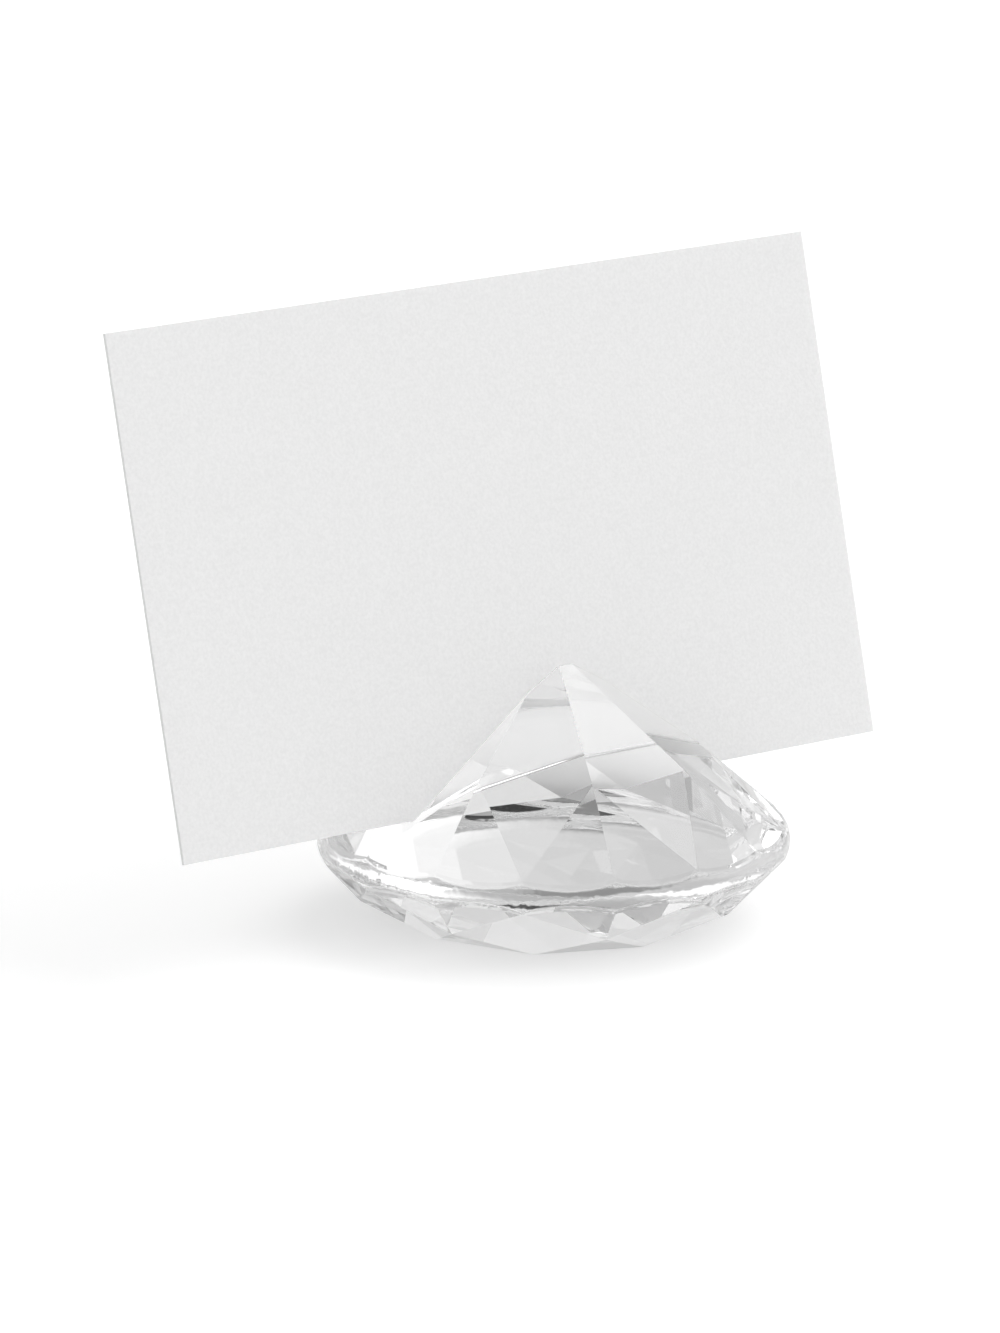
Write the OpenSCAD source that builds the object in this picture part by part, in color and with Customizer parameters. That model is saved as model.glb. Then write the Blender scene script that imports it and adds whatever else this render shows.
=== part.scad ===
// Place card holder: a clear round brilliant with 57 facets that stands upside down,
// on its table facet, with a slot across its tip in which a blank card leans back.
// Lengths are in millimetres. The table facet lies on the XY plane, with the gem's axis
// at the origin. The slot runs along X, and the card leans towards +Y.

/* [Brilliant] */
// Width across the corners of the girdle
girdle_d = 48.4; // [42:0.1:60]
// Height of the girdle's band, from its lower corners to its upper corners
girdle_h = 3.3; // [2:0.1:5]
// How far the rounded band stands out past its corners, as a share of its height
girdle_bulge_share = 0.15; // [0.02:0.01:0.18]
// Width across the corners of the table facet
table_d = 30.5; // [24:0.5:35]
// Height of the crown, from the table to the girdle's lower corners
crown_h = 6.8; // [4:0.1:9]
// Height of the pavilion, from the girdle's upper corners to the point where its mains meet
pavilion_h = 18.85; // [15:0.05:24]
// How far each star reaches from the table towards the girdle, as a share of that way
star_share = 0.62; // [0.5:0.01:0.75]
// How far the pavilion's half facets reach from the girdle towards the tip, as a share
half_share = 0.364; // [0.25:0.001:0.6]

/* [Slot] */
// Width of the slot
slot_w = 4; // [2:0.1:5]
// Depth of the slot, from the top of its walls to its floor
slot_depth = 13.8; // [8:0.1:16]

/* [Card] */
// Width of the card
card_w = 90; // [70:1:110]
// Height of the card
card_h = 54; // [40:1:80]
// Thickness of the card
card_t = 0.4; // [0.2:0.05:0.8]
// How far the card's middle stands along the slot from the gem's axis
card_shift = -3.25; // [-12:0.25:12]
// Gap between the card and each face of the slot that it rests on
card_gap = 0.1; // [0.05:0.05:0.2]

/* [Hidden] */
$fn = 128;

// Main facets round the gem: a multiple of four, so one faces along the slot and one across
mains = 8;
// Angle from the middle of a main facet to its edge, and from there to a half facet's middle
main_step = 360 / (2 * mains);
half_step = main_step / 2;

// Girdle: the corners lie on one circle, and the band between them is an arc
girdle_r = girdle_d / 2;
bulge = girdle_bulge_share * girdle_h;
band_curve_r = (pow(girdle_h / 2, 2) + pow(bulge, 2)) / (2 * bulge);
band_centre_r = girdle_r + bulge - band_curve_r;
band_centre_z = crown_h + girdle_h / 2;
// The blank steps in from the corners by this share of the bulge, and the facets remove the step
blank_step_share = 0.2;
blank_r = girdle_r - blank_step_share * bulge;

// Pavilion: mains from the girdle's upper corners to the tip, and pairs of half facets
upper_corner_z = crown_h + girdle_h;
tip_z = upper_corner_z + pavilion_h;
main_slope = atan2(pavilion_h, girdle_r);
pair_r = girdle_r * (1 - half_share);
pair_h = pavilion_h - pair_r * cos(main_step) * tan(main_slope);
half_slope = atan2(pair_h, (girdle_r - pair_r) * cos(half_step));

// Crown: bezels from the table's corners to the girdle's lower corners, stars and half facets
table_r = table_d / 2;
bezel_slope = atan2(crown_h, girdle_r - table_r);
star_r = table_r + star_share * (girdle_r - table_r);
star_z = (star_r * cos(main_step) - table_r) * tan(bezel_slope);
star_slope = atan2(star_z, star_r - table_r * cos(main_step));
crown_half_slope = atan2(crown_h - star_z, (girdle_r - star_r) * cos(half_step));

// Side of the block that a facet or the slot removes, larger than the gem
block = 2 * girdle_d;

// Slot: the main facet across it sets how high its walls reach
wall_top_z = tip_z - slot_w / 2 * tan(main_slope);
slot_floor_z = wall_top_z - slot_depth;

// Card: its back lower edge stands on the floor, its front lower edge by the front wall,
// and its back leans on the top of the back wall
card_foot_y = card_gap + card_t - slot_w / 2;
card_foot_z = slot_floor_z + card_gap;
lean_run = slot_w / 2 - card_foot_y;
lean_rise = wall_top_z - card_foot_z;
card_lean = atan2(lean_run, lean_rise) - asin(card_gap / norm([lean_run, lean_rise]));

// The uncut gem: a round bar with the girdle's rounded band
module blank() {
    cylinder(r = blank_r, h = tip_z);
    rotate_extrude() translate([band_centre_r, band_centre_z]) circle(r = band_curve_r);
}

// What a ring of facets removes: each plane passes the point at radius r and height z, and
// falls away from the axis at its slope, or rises where the slope is negative
module facet_ring(count, first, r, z, slope) {
    for (i = [0 : count - 1])
        rotate([0, 0, first + i * 360 / count])
            translate([r, 0, z])
                rotate([0, slope, 0])
                    translate([-block / 2, -block / 2, slope > 0 ? 0 : -block])
                        cube(block);
}

module slot_cut() {
    translate([-block / 2, -slot_w / 2, slot_floor_z]) cube([block, slot_w, block]);
}

// The gem, cut as a gem cutter would cut it
module gem_base() {
    color([0.86, 0.9, 0.92, 0.5]) difference() {
        blank();
        slot_cut();
        facet_ring(mains, 0, girdle_r, upper_corner_z, main_slope);
        facet_ring(2 * mains, half_step, girdle_r * cos(half_step), upper_corner_z, half_slope);
        facet_ring(mains, 0, girdle_r, crown_h, -bezel_slope);
        facet_ring(mains, main_step, table_r * cos(main_step), 0, -star_slope);
        facet_ring(2 * mains, half_step, girdle_r * cos(half_step), crown_h, -crown_half_slope);
    }
}

// The card, leaning back in the slot
module place_card() {
    color("white")
        translate([card_shift, card_foot_y, card_foot_z])
            rotate([-card_lean, 0, 0])
                translate([-card_w / 2, -card_t, 0])
                    cube([card_w, card_t, card_h]);
}

gem_base();
place_card();
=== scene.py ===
"""Place card holder: a clear round brilliant, table facet down, with a card in its slot.

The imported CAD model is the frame. Everything here is in metres in that same frame: the table facet
lies on the XY plane, the slot runs along X, and the card leans towards +Y.
"""

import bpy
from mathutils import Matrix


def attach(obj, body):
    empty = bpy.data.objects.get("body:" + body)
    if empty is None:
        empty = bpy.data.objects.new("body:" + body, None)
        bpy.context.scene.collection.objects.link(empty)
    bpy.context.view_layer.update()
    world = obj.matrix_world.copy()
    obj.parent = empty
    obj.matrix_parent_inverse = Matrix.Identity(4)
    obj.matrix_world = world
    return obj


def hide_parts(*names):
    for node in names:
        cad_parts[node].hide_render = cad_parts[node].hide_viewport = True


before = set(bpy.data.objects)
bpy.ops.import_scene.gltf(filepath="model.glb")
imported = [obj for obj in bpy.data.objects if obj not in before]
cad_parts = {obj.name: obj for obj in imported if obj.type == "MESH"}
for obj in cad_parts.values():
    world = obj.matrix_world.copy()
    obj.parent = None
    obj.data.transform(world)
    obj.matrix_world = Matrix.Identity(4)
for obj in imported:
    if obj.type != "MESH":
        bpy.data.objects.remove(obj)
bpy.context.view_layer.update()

import logging
import math
from dataclasses import dataclass
from typing import Any

import bmesh
import bpy
from mathutils import Vector

log = logging.getLogger("place_card_holder")

MM = 0.001
# Light crosses many facets before it leaves the gem, and total reflection counts as glossy
MAX_BOUNCES = 32
GLASS_BOUNCES = 24


def linear(hex_colour: str) -> tuple[float, float, float, float]:
    """Turns an sRGB hex colour into the linear colour that shaders take.

    Args:
        hex_colour: six hex digits, with or without a leading #.

    Returns:
        Linear red, green and blue, and an alpha of 1.
    """
    digits = hex_colour.lstrip("#")
    channels = [int(digits[i:i + 2], 16) / 255 for i in (0, 2, 4)]
    return (*(c / 12.92 if c <= 0.04045 else ((c + 0.055) / 1.055) ** 2.4 for c in channels), 1.0)


def add_node(tree: bpy.types.NodeTree, kind: str, inputs: dict[Any, Any] | None = None,
             **settings: Any) -> bpy.types.Node:
    """Adds a node, sets its properties, and fills or links its inputs.

    Args:
        tree: the node tree that gets the node.
        kind: the node's type name.
        inputs: input name or index to a value, to an output socket, or to a list of output sockets.
        settings: the node's own properties.

    Returns:
        The new node.
    """
    node = tree.nodes.new(kind)
    for name, value in settings.items():
        setattr(node, name, value)
    for key, value in (inputs or {}).items():
        socket = node.inputs[key]
        sources = value if isinstance(value, list) else [value]
        if isinstance(sources[0], bpy.types.NodeSocket):
            for source in sources:
                tree.links.new(source, socket)
        else:
            socket.default_value = value
    return node


def new_material(name: str) -> tuple[bpy.types.Material, bpy.types.NodeTree]:
    """Makes a material with an empty node tree.

    Args:
        name: the material's name.

    Returns:
        The material and its tree.
    """
    material = bpy.data.materials.new(name)
    material.use_nodes = True
    material.node_tree.nodes.clear()
    return material, material.node_tree


def new_object(name: str, mesh: bpy.types.Mesh) -> bpy.types.Object:
    """Puts a mesh into the scene as an object at the origin.

    Args:
        name: the object's name.
        mesh: its mesh, already in the frame's metres.

    Returns:
        The new object.
    """
    made = bpy.data.objects.new(name, mesh)
    bpy.context.scene.collection.objects.link(made)
    return made


def set_inputs(modifier: bpy.types.NodesModifier, values: dict[str, Any]) -> None:
    """Sets a Geometry Nodes modifier's inputs by their socket identifiers.

    Args:
        modifier: the modifier, whose tree is already set.
        values: input name to value.
    """
    for item in modifier.node_group.interface.items_tree:
        if item.item_type == "SOCKET" and item.in_out == "INPUT" and item.name in values:
            modifier[item.identifier] = values[item.name]


def applied(source: bpy.types.Object, name: str) -> bpy.types.Object:
    """Turns an object's evaluated shape into a plain mesh object, and removes the source.

    Args:
        source: the object with its modifiers.
        name: the new object's name.

    Returns:
        A new object with no modifiers.
    """
    graph = bpy.context.evaluated_depsgraph_get()
    mesh = bpy.data.meshes.new_from_object(source.evaluated_get(graph), depsgraph=graph)
    mesh.name = name
    old = source.data
    bpy.data.objects.remove(source)
    bpy.data.meshes.remove(old)
    return new_object(name, mesh)


@dataclass(frozen=True)
class OpticalCrystal:
    """Optical crystal glass, cut and polished: colourless, with flat, mirror-smooth facets.

    The eye sees no colour and no texture, only the room, which every facet shows a piece of. The
    facets' edges are crisp. The girdle's edges are softer, and the band there is a little wavy.
    The light that reaches the card and the table through it isn't bent. It passes the tip almost
    unchanged and is dimmed in the thick foot, so the table below gets a soft grey shadow.
    """

    name: str = "polished_optical_crystal"
    tint: str = "#FFFFFF"
    index: float = 1.52
    roughness: float = 0.0
    shadow_above: str = "#FCFCFC"
    shadow_below: str = "#C7C7C7"
    shadow_from_mm: float = 9.5
    shadow_to_mm: float = 12.5
    edge_mm: float = 0.05
    girdle_edge_mm: float = 0.3
    girdle_from_mm: float = 21.8
    girdle_full_mm: float = 23.6
    band_from_mm: float = 24.0
    band_full_mm: float = 24.3
    wave_mm: float = 0.09
    wave_length_mm: float = 1.8
    wave_detail: float = 2.0
    edge_samples: int = 6

    def build(self) -> bpy.types.Material:
        """Builds the material.

        Returns:
            Clear glass with no colour of its own, whose shadow is a light one.
        """
        material, tree = new_material(self.name)
        # Soft edges, wider towards the girdle
        place = add_node(tree, "ShaderNodeTexCoord").outputs["Object"]
        level = add_node(tree, "ShaderNodeVectorMath", {
            0: place, 1: (1.0, 1.0, 0.0)}, operation="MULTIPLY")
        out = add_node(tree, "ShaderNodeVectorMath", {
            0: level.outputs[0]}, operation="LENGTH").outputs["Value"]
        soft = add_node(tree, "ShaderNodeMapRange", {
            "Value": out, "From Min": self.girdle_from_mm * MM,
            "From Max": self.girdle_full_mm * MM, "To Min": self.edge_mm * MM,
            "To Max": self.girdle_edge_mm * MM})
        edges = add_node(tree, "ShaderNodeBevel", {
            "Radius": soft.outputs[0]}, samples=self.edge_samples)
        # Waves on the girdle's band alone
        band = add_node(tree, "ShaderNodeMapRange", {
            "Value": out, "From Min": self.band_from_mm * MM, "From Max": self.band_full_mm * MM})
        wave = add_node(tree, "ShaderNodeTexNoise", {
            "Vector": place, "Scale": 1 / (self.wave_length_mm * MM), "Detail": self.wave_detail})
        height = add_node(tree, "ShaderNodeMath", {
            0: wave.outputs["Fac"], 1: band.outputs[0]}, operation="MULTIPLY")
        bump = add_node(tree, "ShaderNodeBump", {
            "Strength": 1.0, "Distance": self.wave_mm * MM, "Height": height.outputs[0],
            "Normal": edges.outputs[0]})
        parts = add_node(tree, "ShaderNodeSeparateXYZ", {0: place}).outputs
        body = add_node(tree, "ShaderNodeBsdfPrincipled", {
            "Base Color": linear(self.tint), "Roughness": self.roughness, "IOR": self.index,
            "Transmission Weight": 1.0, "Normal": bump.outputs["Normal"]})
        # What the glass does to light on other things: dark below, almost clear above
        above = add_node(tree, "ShaderNodeMapRange", {
            "Value": parts["Z"], "From Min": self.shadow_from_mm * MM,
            "From Max": self.shadow_to_mm * MM})
        tone = add_node(tree, "ShaderNodeMix", {
            0: above.outputs[0], 6: linear(self.shadow_below), 7: linear(self.shadow_above)},
            data_type="RGBA")
        shade = add_node(tree, "ShaderNodeBsdfTransparent", {"Color": tone.outputs[2]})
        light = add_node(tree, "ShaderNodeLightPath")
        lighting = add_node(tree, "ShaderNodeMath", {
            0: light.outputs["Is Shadow Ray"], 1: light.outputs["Is Diffuse Ray"]},
            operation="MAXIMUM")
        both = add_node(tree, "ShaderNodeMixShader", {
            0: lighting.outputs[0], 1: body.outputs["BSDF"], 2: shade.outputs[0]})
        add_node(tree, "ShaderNodeOutputMaterial", {"Surface": both.outputs[0]})
        return material


@dataclass(frozen=True)
class FeltMarkedCard:
    """Uncoated white card, pressed with a felt while wet: matt, with a fine soft-edged grain.

    The eye sees a plain, slightly mottled white without gloss, and edges that glow a little with
    the light in the sheet. The grain is drawn at 0.8 mm and the fibres at 0.35 mm, coarser than
    real fibres of 0.02 mm, so that they show.
    """

    name: str = "felt_marked_white_card"
    face: str = "#E9E9E9"
    fleck: str = "#E3E3E3"
    roughness: float = 0.85
    index: float = 1.45
    gloss: float = 0.2
    grain_mm: float = 0.8
    grain_detail: float = 4.0
    grain_contrast: float = 0.62
    fibre_mm: float = 0.35
    fibre_detail: float = 2.0
    fibre_share: float = 0.8
    fleck_from: float = 0.34
    fleck_to: float = 0.66
    bump_mm: float = 0.02
    through: float = 0.5
    through_mm: float = 0.6

    def build(self) -> bpy.types.Material:
        """Builds the material.

        Returns:
            White card whose felt grain shows as a faint mottle and a low relief.
        """
        material, tree = new_material(self.name)
        place = add_node(tree, "ShaderNodeTexCoord").outputs["Object"]
        grain = add_node(tree, "ShaderNodeTexNoise", {
            "Vector": place, "Scale": 1 / (self.grain_mm * MM), "Detail": self.grain_detail,
            "Roughness": self.grain_contrast})
        fibre = add_node(tree, "ShaderNodeTexNoise", {
            "Vector": place, "Scale": 1 / (self.fibre_mm * MM), "Detail": self.fibre_detail})
        height = add_node(tree, "ShaderNodeMix", {
            0: self.fibre_share, 2: grain.outputs["Fac"], 3: fibre.outputs["Fac"]},
            data_type="FLOAT")
        bump = add_node(tree, "ShaderNodeBump", {
            "Strength": 1.0, "Distance": self.bump_mm * MM, "Height": height.outputs[0]})
        flecks = add_node(tree, "ShaderNodeMapRange", {
            "Value": height.outputs[0], "From Min": self.fleck_from, "From Max": self.fleck_to})
        colour = add_node(tree, "ShaderNodeMix", {
            0: flecks.outputs[0], 6: linear(self.fleck), 7: linear(self.face)}, data_type="RGBA")
        body = add_node(tree, "ShaderNodeBsdfPrincipled", {
            "Base Color": colour.outputs[2], "Roughness": self.roughness, "IOR": self.index,
            "Specular IOR Level": self.gloss, "Subsurface Weight": self.through,
            "Subsurface Radius": (1.0, 1.0, 1.0), "Subsurface Scale": self.through_mm * MM,
            "Normal": bump.outputs["Normal"]})
        add_node(tree, "ShaderNodeOutputMaterial", {"Surface": body.outputs["BSDF"]})
        return material


@dataclass(frozen=True)
class WhiteTable:
    """Painted studio board: matt white, as bright as the background where nothing shades it.

    The lifts are what the board shows above the light on it: the camera sees it nearly white, and
    the glass sees it a little brighter than it is.
    """

    name: str = "matt_white_studio_board"
    colour: str = "#EAEAEA"
    camera_lift: float = 0.31
    glass_lift: float = 0.01

    def build(self) -> bpy.types.Material:
        """Builds the material.

        Returns:
            White board that the room lights, lifted to white for the camera, with its shadows kept.
        """
        material, tree = new_material(self.name)
        light = add_node(tree, "ShaderNodeLightPath")
        clear = add_node(tree, "ShaderNodeMath", {
            0: light.outputs["Is Glossy Ray"], 1: light.outputs["Is Transmission Ray"]},
            operation="MAXIMUM")
        lift = add_node(tree, "ShaderNodeMath", {
            0: clear.outputs[0], 1: self.glass_lift}, operation="MULTIPLY")
        lift = add_node(tree, "ShaderNodeMath", {
            0: light.outputs["Is Camera Ray"], 1: self.camera_lift, 2: lift.outputs[0]},
            operation="MULTIPLY_ADD")
        lit = add_node(tree, "ShaderNodeBsdfDiffuse", {"Color": linear(self.colour)})
        glow = add_node(tree, "ShaderNodeEmission", {
            "Color": linear("#FFFFFF"), "Strength": lift.outputs[0]})
        both = add_node(tree, "ShaderNodeAddShader", {0: lit.outputs[0], 1: glow.outputs[0]})
        add_node(tree, "ShaderNodeOutputMaterial", {"Surface": both.outputs[0]})
        return material


@dataclass
class BrilliantGem:
    """The clear holder: a round brilliant with 57 facets, and a slot across its tip.

    The slot's two lower edges are rounded, less across than up.
    """

    girdle_r: float = 24.2 * MM
    girdle_h: float = 3.3 * MM
    bulge: float = 0.495 * MM
    table_r: float = 15.25 * MM
    crown_h: float = 6.8 * MM
    pavilion_h: float = 18.85 * MM
    star_share: float = 0.62
    half_share: float = 0.364
    slot_w: float = 4 * MM
    slot_depth: float = 13.8 * MM
    mains: int = 8
    slot_round_y: float = 0.3 * MM
    slot_round_z: float = 0.8 * MM
    edge_round: float = 0.08 * MM
    reach: float = 1.2 * MM
    band_past: float = 1.08
    band_steps: int = 24
    round_steps: int = 384
    slot_steps: int = 200
    join_within: float = 0.001 * MM
    flat_within: float = math.radians(0.5)
    edge_from: float = math.radians(5)

    @property
    def step(self) -> float:
        """Angle from the middle of a main facet to its edge."""
        return math.pi / self.mains

    @property
    def tip_z(self) -> float:
        """Height of the point where the mains meet."""
        return self.crown_h + self.girdle_h + self.pavilion_h

    @property
    def main_slope(self) -> float:
        """Tangent of the mains' slope."""
        return self.pavilion_h / self.girdle_r

    @property
    def floor_z(self) -> float:
        """Height of the slot's floor."""
        return self.tip_z - self.slot_w / 2 * self.main_slope - self.slot_depth

    def facet_sizes(self) -> dict[str, float]:
        """Works out where the facets' corners lie.

        Returns:
            The named radii and heights that the facet tree takes.
        """
        star_r = self.table_r + self.star_share * (self.girdle_r - self.table_r)
        bezel = self.crown_h / (self.girdle_r - self.table_r)
        star_z = (star_r * math.cos(self.step) - self.table_r) * bezel
        pair_r = self.girdle_r * (1 - self.half_share)
        pair_h = self.pavilion_h - pair_r * math.cos(self.step) * self.main_slope
        top = self.crown_h + self.girdle_h
        return {
            "Table Radius": self.table_r, "Table Height": 0.0,
            "Star Radius": star_r, "Star Height": star_z,
            "Bezel Radius": self.girdle_r, "Bezel Height": self.crown_h,
            "Lower Radius": self.girdle_r + self.reach,
            "Lower Height": self.crown_h
            + self.reach * (self.crown_h - star_z) / (self.girdle_r - star_r),
            "Upper Radius": self.girdle_r + self.reach,
            "Upper Height": top - self.reach * pair_h / (self.girdle_r - pair_r),
            "Main Radius": self.girdle_r, "Main Height": top,
            "Pair Radius": pair_r, "Pair Height": top + pair_h,
            "Tip Radius": 0.0, "Tip Height": self.tip_z,
            "Slot Width": self.slot_w, "Slot Floor": self.floor_z,
            "Slot Round Width": self.slot_round_y, "Slot Round Height": self.slot_round_z,
        }

    def facet_tree(self) -> bpy.types.NodeTree:
        """Builds the tree that cuts the facets and the slot.

        Each ring of facet corners is a circle of points, their convex hull is the uncut gem, and a
        bar with two rounded lower edges takes the slot out of it.

        Returns:
            The tree, with a named input for each ring's radius and height and for the slot.
        """
        tree = bpy.data.node_groups.new("brilliant_facets", "GeometryNodeTree")
        face = tree.interface
        face.new_socket("Geometry", in_out="OUTPUT", socket_type="NodeSocketGeometry")
        for name in self.facet_sizes():
            face.new_socket(name, in_out="INPUT", socket_type="NodeSocketFloat")
        face.new_socket("Material", in_out="INPUT", socket_type="NodeSocketMaterial")
        given = add_node(tree, "NodeGroupInput").outputs
        rings = []
        for ring, count, turn in (("Table", self.mains, 0.0), ("Star", self.mains, self.step),
                                  ("Bezel", self.mains, 0.0), ("Lower", 2 * self.mains, 0.0),
                                  ("Upper", 2 * self.mains, 0.0), ("Main", self.mains, 0.0),
                                  ("Pair", self.mains, self.step), ("Tip", 3, 0.0)):
            corners = add_node(tree, "GeometryNodeMeshCircle", {
                "Vertices": count, "Radius": given[f"{ring} Radius"]})
            height = add_node(tree, "ShaderNodeCombineXYZ", {"Z": given[f"{ring} Height"]})
            rings.append(add_node(tree, "GeometryNodeTransform", {
                "Geometry": corners.outputs["Mesh"], "Translation": height.outputs[0],
                "Rotation": (0.0, 0.0, turn)}).outputs[0])
        joined = add_node(tree, "GeometryNodeJoinGeometry", {"Geometry": rings})
        merged = add_node(tree, "GeometryNodeMergeByDistance", {
            "Geometry": joined.outputs[0], "Distance": self.join_within})
        hull = add_node(tree, "GeometryNodeConvexHull", {"Geometry": merged.outputs[0]})
        block = add_node(tree, "ShaderNodeCombineXYZ", {
            "X": 4 * self.girdle_r, "Y": given["Slot Width"], "Z": self.tip_z})
        lift = add_node(tree, "ShaderNodeMath", {
            0: given["Slot Floor"], 1: self.tip_z}, operation="ADD")
        place = add_node(tree, "ShaderNodeCombineXYZ", {"Z": lift.outputs[0]})
        box = add_node(tree, "GeometryNodeMeshCube", {"Size": block.outputs[0]})
        parts = [add_node(tree, "GeometryNodeTransform", {
            "Geometry": box.outputs["Mesh"], "Translation": place.outputs[0]}).outputs[0]]
        bar = add_node(tree, "GeometryNodeMeshCylinder", {
            "Vertices": self.slot_steps, "Radius": 1.0, "Depth": 4 * self.girdle_r})
        shape = add_node(tree, "ShaderNodeCombineXYZ", {
            "X": given["Slot Round Height"], "Y": given["Slot Round Width"], "Z": 1.0})
        lifted = add_node(tree, "ShaderNodeMath", {
            0: given["Slot Floor"], 1: given["Slot Round Height"]}, operation="ADD")
        for side in (-1.0, 1.0):
            half = add_node(tree, "ShaderNodeMath", {
                0: given["Slot Width"], 1: side / 2}, operation="MULTIPLY")
            y = add_node(tree, "ShaderNodeMath", {
                0: given["Slot Round Width"], 1: -side, 2: half.outputs[0]},
                operation="MULTIPLY_ADD")
            corner = add_node(tree, "ShaderNodeCombineXYZ", {
                "Y": y.outputs[0], "Z": lifted.outputs[0]})
            parts.append(add_node(tree, "GeometryNodeTransform", {
                "Geometry": bar.outputs["Mesh"], "Translation": corner.outputs[0],
                "Rotation": (0.0, math.pi / 2, 0.0), "Scale": shape.outputs[0]}).outputs[0])
        outline = add_node(tree, "GeometryNodeJoinGeometry", {"Geometry": parts})
        slot = add_node(tree, "GeometryNodeConvexHull", {"Geometry": outline.outputs[0]})
        cut = add_node(tree, "GeometryNodeMeshBoolean", {
            "Mesh 1": hull.outputs[0], "Mesh 2": slot.outputs[0]},
            operation="DIFFERENCE", solver="EXACT")
        real = add_node(tree, "GeometryNodeRealizeInstances", {"Geometry": cut.outputs["Mesh"]})
        done = add_node(tree, "GeometryNodeSetMaterial", {
            "Geometry": real.outputs[0], "Material": given["Material"]})
        add_node(tree, "NodeGroupOutput", {"Geometry": done.outputs[0]})
        return tree

    def girdle_sizes(self) -> dict[str, float]:
        """Works out the arc of the girdle's rounded band.

        Returns:
            The named sizes that the girdle tree takes.
        """
        curve = ((self.girdle_h / 2) ** 2 + self.bulge ** 2) / (2 * self.bulge)
        return {
            "Curve Radius": curve, "Curve Centre": self.girdle_r + self.bulge - curve,
            "Band Middle": self.crown_h + self.girdle_h / 2,
            "Half Angle": math.asin(self.band_past * self.girdle_h / 2 / curve),
        }

    def girdle_tree(self) -> bpy.types.NodeTree:
        """Builds the tree that rounds the girdle.

        A tall cylinder gets the band's arc as its middle rings, and what stands outside it goes.

        Returns:
            The tree, which takes the faceted gem and the named sizes of the arc.
        """
        tree = bpy.data.node_groups.new("girdle_band", "GeometryNodeTree")
        face = tree.interface
        face.new_socket("Geometry", in_out="OUTPUT", socket_type="NodeSocketGeometry")
        face.new_socket("Geometry", in_out="INPUT", socket_type="NodeSocketGeometry")
        for name in self.girdle_sizes():
            face.new_socket(name, in_out="INPUT", socket_type="NodeSocketFloat")
        face.new_socket("Material", in_out="INPUT", socket_type="NodeSocketMaterial")
        given = add_node(tree, "NodeGroupInput").outputs
        rings = self.band_steps + 2
        bar = add_node(tree, "GeometryNodeMeshCylinder", {
            "Vertices": self.round_steps, "Side Segments": rings, "Radius": 1.0,
            "Depth": float(rings)}, fill_type="NGON")
        where = add_node(tree, "GeometryNodeInputPosition")
        parts = add_node(tree, "ShaderNodeSeparateXYZ", {0: where.outputs[0]})
        half = self.band_steps / 2
        share = add_node(tree, "ShaderNodeMapRange", {
            "Value": parts.outputs["Z"], "From Min": -half, "From Max": half,
            "To Min": -1.0, "To Max": 1.0})
        angle = add_node(tree, "ShaderNodeMath", {
            0: share.outputs[0], 1: given["Half Angle"]}, operation="MULTIPLY")
        out = add_node(tree, "ShaderNodeMath", {0: angle.outputs[0]}, operation="COSINE")
        radius = add_node(tree, "ShaderNodeMath", {
            0: out.outputs[0], 1: given["Curve Radius"], 2: given["Curve Centre"]},
            operation="MULTIPLY_ADD")
        rise = add_node(tree, "ShaderNodeMath", {0: angle.outputs[0]}, operation="SINE")
        arc_z = add_node(tree, "ShaderNodeMath", {
            0: rise.outputs[0], 1: given["Curve Radius"], 2: given["Band Middle"]},
            operation="MULTIPLY_ADD")
        past = add_node(tree, "ShaderNodeMath", {
            0: parts.outputs["Z"], 1: half + 0.5}, operation="GREATER_THAN")
        under = add_node(tree, "ShaderNodeMath", {
            0: parts.outputs["Z"], 1: -half - 0.5}, operation="LESS_THAN")
        ends = add_node(tree, "ShaderNodeMath", {
            0: past.outputs[0], 1: under.outputs[0]}, operation="SUBTRACT")
        z = add_node(tree, "ShaderNodeMath", {
            0: ends.outputs[0], 1: 2 * self.tip_z, 2: arc_z.outputs[0]}, operation="MULTIPLY_ADD")
        flat = add_node(tree, "ShaderNodeCombineXYZ", {
            "X": parts.outputs["X"], "Y": parts.outputs["Y"]})
        wide = add_node(tree, "ShaderNodeVectorMath", {
            0: flat.outputs[0], "Scale": radius.outputs[0]}, operation="SCALE")
        high = add_node(tree, "ShaderNodeCombineXYZ", {"Z": z.outputs[0]})
        spot = add_node(tree, "ShaderNodeVectorMath", {
            0: wide.outputs[0], 1: high.outputs[0]}, operation="ADD")
        shaped = add_node(tree, "GeometryNodeSetPosition", {
            "Geometry": bar.outputs["Mesh"], "Position": spot.outputs[0]})
        smooth = add_node(tree, "GeometryNodeSetShadeSmooth", {
            "Geometry": shaped.outputs[0], "Shade Smooth": True})
        both = add_node(tree, "GeometryNodeMeshBoolean", {
            "Mesh 2": [given["Geometry"], smooth.outputs[0]]},
            operation="INTERSECT", solver="EXACT")
        real = add_node(tree, "GeometryNodeRealizeInstances", {"Geometry": both.outputs["Mesh"]})
        done = add_node(tree, "GeometryNodeSetMaterial", {
            "Geometry": real.outputs[0], "Material": given["Material"]})
        add_node(tree, "NodeGroupOutput", {"Geometry": done.outputs[0]})
        return tree

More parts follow.
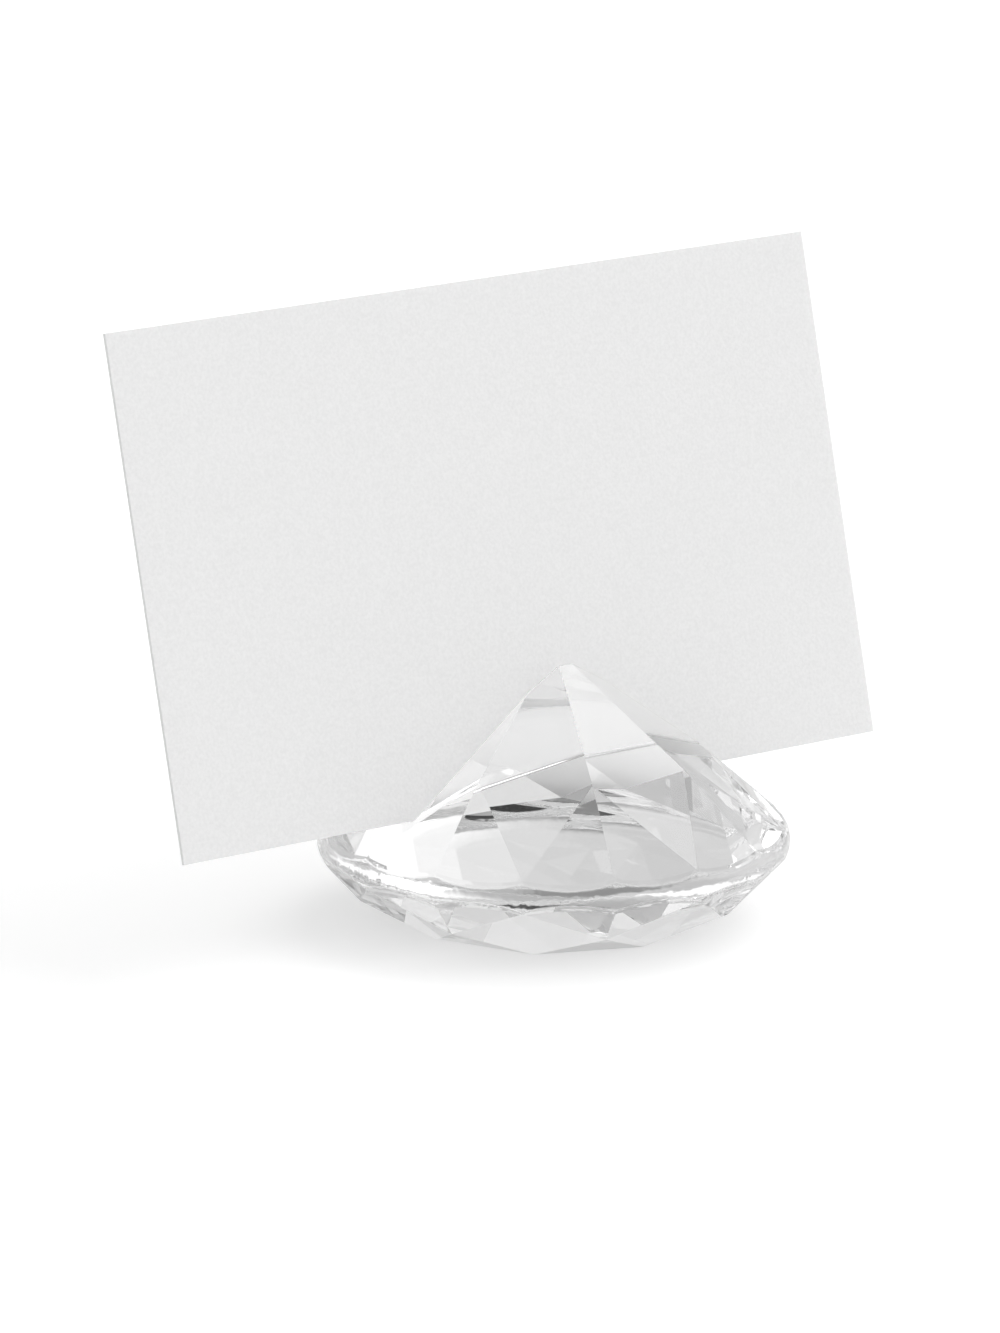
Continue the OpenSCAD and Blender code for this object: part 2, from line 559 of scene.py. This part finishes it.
    def build(self, finish: OpticalCrystal) -> bpy.types.Object:
        """Cuts the gem, rounds its edges a little, and dresses it.

        Args:
            finish: the clear material.

        Returns:
            The gem as one plain mesh.
        """
        material = finish.build()
        blank = new_object("gem_blank", bpy.data.meshes.new("gem_blank"))
        facets = blank.modifiers.new("facets", "NODES")
        facets.node_group = self.facet_tree()
        set_inputs(facets, {**self.facet_sizes(), "Material": material})
        planes = blank.modifiers.new("whole_facets", "DECIMATE")
        planes.decimate_type, planes.angle_limit = "DISSOLVE", self.flat_within
        edges = blank.modifiers.new("polished_edges", "BEVEL")
        edges.width, edges.segments, edges.limit_method = self.edge_round, 1, "ANGLE"
        edges.angle_limit, edges.use_clamp_overlap = self.edge_from, True
        girdle = blank.modifiers.new("girdle", "NODES")
        girdle.node_group = self.girdle_tree()
        set_inputs(girdle, {**self.girdle_sizes(), "Material": material})
        gem = applied(blank, "cut_gem")
        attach(gem, "base")
        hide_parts("gem_base")
        return gem


@dataclass
class PlaceCard:
    """The blank card, which leans back in the slot."""

    width: float = 90 * MM
    height: float = 54 * MM
    thickness: float = 0.4 * MM
    shift: float = -3.25 * MM
    foot_y: float = -1.5 * MM
    foot_z: float = 13.692 * MM
    lean: float = math.radians(13.926)
    across: int = 60
    up: int = 36

    def build(self, finish: FeltMarkedCard) -> bpy.types.Object:
        """Builds the card as a fine flat sheet with real thickness.

        Args:
            finish: the card's material.

        Returns:
            The card as one plain mesh.
        """
        rise = Vector((0, math.sin(self.lean), math.cos(self.lean)))
        foot = Vector((self.shift, self.foot_y, self.foot_z))
        bm = bmesh.new()
        rows = []
        for j in range(self.up + 1):
            row = []
            for i in range(self.across + 1):
                x = (i / self.across - 0.5) * self.width
                place = foot + Vector((x, 0, 0)) + rise * (self.height * j / self.up)
                row.append(bm.verts.new(place))
            rows.append(row)
        for low, high in zip(rows, rows[1:]):
            for i in range(self.across):
                bm.faces.new((low[i], low[i + 1], high[i + 1], high[i]))
        bm.normal_update()
        mesh = bpy.data.meshes.new("card_sheet")
        bm.to_mesh(mesh)
        bm.free()
        mesh.materials.append(finish.build())
        sheet = new_object("card_sheet", mesh)
        body = sheet.modifiers.new("thickness", "SOLIDIFY")
        body.thickness, body.offset = self.thickness, 1.0
        card = applied(sheet, "blank_card")
        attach(card, "card")
        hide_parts("place_card")
        return card


@dataclass(frozen=True)
class RoomPanel:
    """A soft-edged patch of the room, in degrees round the object and above the table."""

    name: str
    turn: float
    rise: float
    half_turn: float
    half_rise: float
    soft: float
    level: float


@dataclass(frozen=True)
class WhiteRoom:
    """The studio round the object: light grey walls, a dimmer ceiling, and large soft panels.

    The hatch is a dark gap in the ceiling, straight above. Later panels cover earlier ones.
    """

    wall: float = 0.66
    ceiling: float = 0.42
    ceiling_from: float = 50.0
    ceiling_full: float = 72.0
    hatch_radius: float = 13.0
    hatch_soft: float = 2.0
    hatch_level: float = 0.03
    panels: tuple[RoomPanel, ...] = (
        RoomPanel("back_ceiling", 82, 76, 46, 14, 20, 0.25),
        RoomPanel("back_wall", 92, 30, 14, 9, 6, 0.53),
        RoomPanel("back_left", 134, 44, 7, 8, 6, 0.38),
        RoomPanel("back_right", 73, 23, 5, 18, 6, 0.57),
        RoomPanel("right_window", -8, 14, 20, 28, 50, 1.15),
        RoomPanel("right_ceiling", 28, 66, 22, 8, 9, 0.45),
        RoomPanel("right_lamp", -6, 53, 6, 4, 5, 3.0),
        RoomPanel("left_card", 165, 48, 14, 8, 4, 1.2),
        RoomPanel("front_softbox", -55, 38, 17, 17, 12, 2.6),
    )

    def build(self) -> bpy.types.World:
        """Builds the room as the scene's world.

        Returns:
            A world that is plain white to the camera and lights the object with soft panels.
        """
        world = bpy.data.worlds.new("white_room")
        world.use_nodes = True
        tree = world.node_tree
        tree.nodes.clear()
        way = add_node(tree, "ShaderNodeTexCoord").outputs["Generated"]
        height = add_node(tree, "ShaderNodeSeparateXYZ", {0: way}).outputs["Z"]
        rise = add_node(tree, "ShaderNodeMath", {0: height}, operation="ARCSINE").outputs[0]
        level = add_node(tree, "ShaderNodeMapRange", {
            "Value": rise, "From Min": math.radians(self.ceiling_from),
            "From Max": math.radians(self.ceiling_full), "To Min": self.wall,
            "To Max": self.ceiling}, interpolation_type="SMOOTHSTEP").outputs[0]
        for panel in self.panels:
            turned = add_node(tree, "ShaderNodeVectorRotate", {
                "Vector": way, "Angle": -math.radians(panel.turn)}, rotation_type="Z_AXIS")
            flat = add_node(tree, "ShaderNodeSeparateXYZ", {0: turned.outputs[0]})
            aside = add_node(tree, "ShaderNodeMath", {
                0: flat.outputs["Y"], 1: flat.outputs["X"]}, operation="ARCTAN2")
            masks = []
            for angle, middle, half in ((aside.outputs[0], 0.0, panel.half_turn),
                                        (rise, panel.rise, panel.half_rise)):
                off = add_node(tree, "ShaderNodeMath", {
                    0: angle, 1: math.radians(middle)}, operation="SUBTRACT")
                off = add_node(tree, "ShaderNodeMath", {0: off.outputs[0]}, operation="ABSOLUTE")
                masks.append(add_node(tree, "ShaderNodeMapRange", {
                    "Value": off.outputs[0], "From Min": math.radians(half),
                    "From Max": math.radians(half + panel.soft), "To Min": 1.0, "To Max": 0.0},
                    interpolation_type="SMOOTHSTEP").outputs[0])
            mask = add_node(tree, "ShaderNodeMath", {
                0: masks[0], 1: masks[1]}, operation="MULTIPLY")
            level = add_node(tree, "ShaderNodeMix", {
                0: mask.outputs[0], 2: level, 3: panel.level}, data_type="FLOAT").outputs[0]
        hatch = add_node(tree, "ShaderNodeMapRange", {
            "Value": rise, "From Min": math.radians(90 - self.hatch_radius - self.hatch_soft),
            "From Max": math.radians(90 - self.hatch_radius)}, interpolation_type="SMOOTHSTEP")
        level = add_node(tree, "ShaderNodeMix", {
            0: hatch.outputs[0], 2: level, 3: self.hatch_level}, data_type="FLOAT").outputs[0]
        light = add_node(tree, "ShaderNodeLightPath")
        level = add_node(tree, "ShaderNodeMix", {
            0: light.outputs["Is Camera Ray"], 2: level, 3: 1.0}, data_type="FLOAT").outputs[0]
        back = add_node(tree, "ShaderNodeBackground", {
            "Color": linear("#FFFFFF"), "Strength": level})
        add_node(tree, "ShaderNodeOutputWorld", {"Surface": back.outputs[0]})
        return world


@dataclass(frozen=True)
class SoftLamp:
    """A wide, far lamp that glass doesn't show, in degrees round the object and above the table."""

    name: str
    turn: float
    rise: float
    width: float
    strength: float

    def build(self) -> None:
        """Hangs the lamp and points it at the object."""
        lamp = bpy.data.lights.new(self.name, "SUN")
        lamp.energy, lamp.angle = self.strength, math.radians(self.width)
        hung = bpy.data.objects.new(self.name, lamp)
        bpy.context.scene.collection.objects.link(hung)
        hung.rotation_euler = (0.0, math.radians(90 - self.rise), math.radians(self.turn))
        hung.visible_glossy = hung.visible_transmission = False


@dataclass
class Studio:
    """The table, the light and the camera, none of which is part of the object."""

    table_half: float = 3.0
    table_gap: float = 0.05 * MM
    camera_place: tuple[float, float, float] = (-498.92 * MM, -649.33 * MM, 229.92 * MM)
    camera_down: float = math.radians(13.932)
    camera_turn: float = math.radians(-37.147)
    lens_mm: float = 219.45
    sensor_mm: float = 36.0
    near: float = 0.01
    far: float = 20.0
    lamps: tuple[SoftLamp, ...] = (
        SoftLamp("right_key", 9, 49, 46, 0.8),
    )

    def build_table(self) -> bpy.types.Object:
        """Lays the white table top, a hair below the gem, so that air stays under the gem.

        Returns:
            The table top.
        """
        mesh = bpy.data.meshes.new("table_top")
        h, z = self.table_half, -self.table_gap
        mesh.from_pydata([(-h, -h, z), (h, -h, z), (h, h, z), (-h, h, z)], [], [(0, 1, 2, 3)])
        mesh.materials.append(WhiteTable().build())
        top = new_object("table_top", mesh)
        return top

    def build_light(self) -> None:
        """Puts the white room round the object, and hangs the lamps in it."""
        bpy.context.scene.world = WhiteRoom().build()
        for lamp in self.lamps:
            lamp.build()

    def build_camera(self) -> None:
        """Sets the camera at the photograph's place and angle."""
        lens = bpy.data.cameras.new("camera")
        lens.lens, lens.sensor_width, lens.sensor_fit = self.lens_mm, self.sensor_mm, "AUTO"
        lens.clip_start, lens.clip_end = self.near, self.far
        camera = bpy.data.objects.new("camera", lens)
        bpy.context.scene.collection.objects.link(camera)
        camera.location = self.camera_place
        camera.rotation_euler = (math.pi / 2 - self.camera_down, 0.0, self.camera_turn)
        bpy.context.scene.camera = camera


def main() -> None:
    """Builds the holder, the card and the studio round them."""
    logging.basicConfig(level=logging.INFO, format="%(name)s: %(message)s")
    bpy.context.scene.view_settings.view_transform = "Standard"
    cycles = bpy.context.scene.cycles
    cycles.max_bounces = MAX_BOUNCES
    cycles.glossy_bounces = cycles.transmission_bounces = GLASS_BOUNCES
    studio = Studio()
    studio.build_camera()
    pieces = [BrilliantGem().build(OpticalCrystal()), PlaceCard().build(FeltMarkedCard())]
    studio.build_table()
    studio.build_light()
    for piece in pieces:
        log.info("%s: %d faces", piece.name, len(piece.data.polygons))


if __name__ == "__main__":
    main()
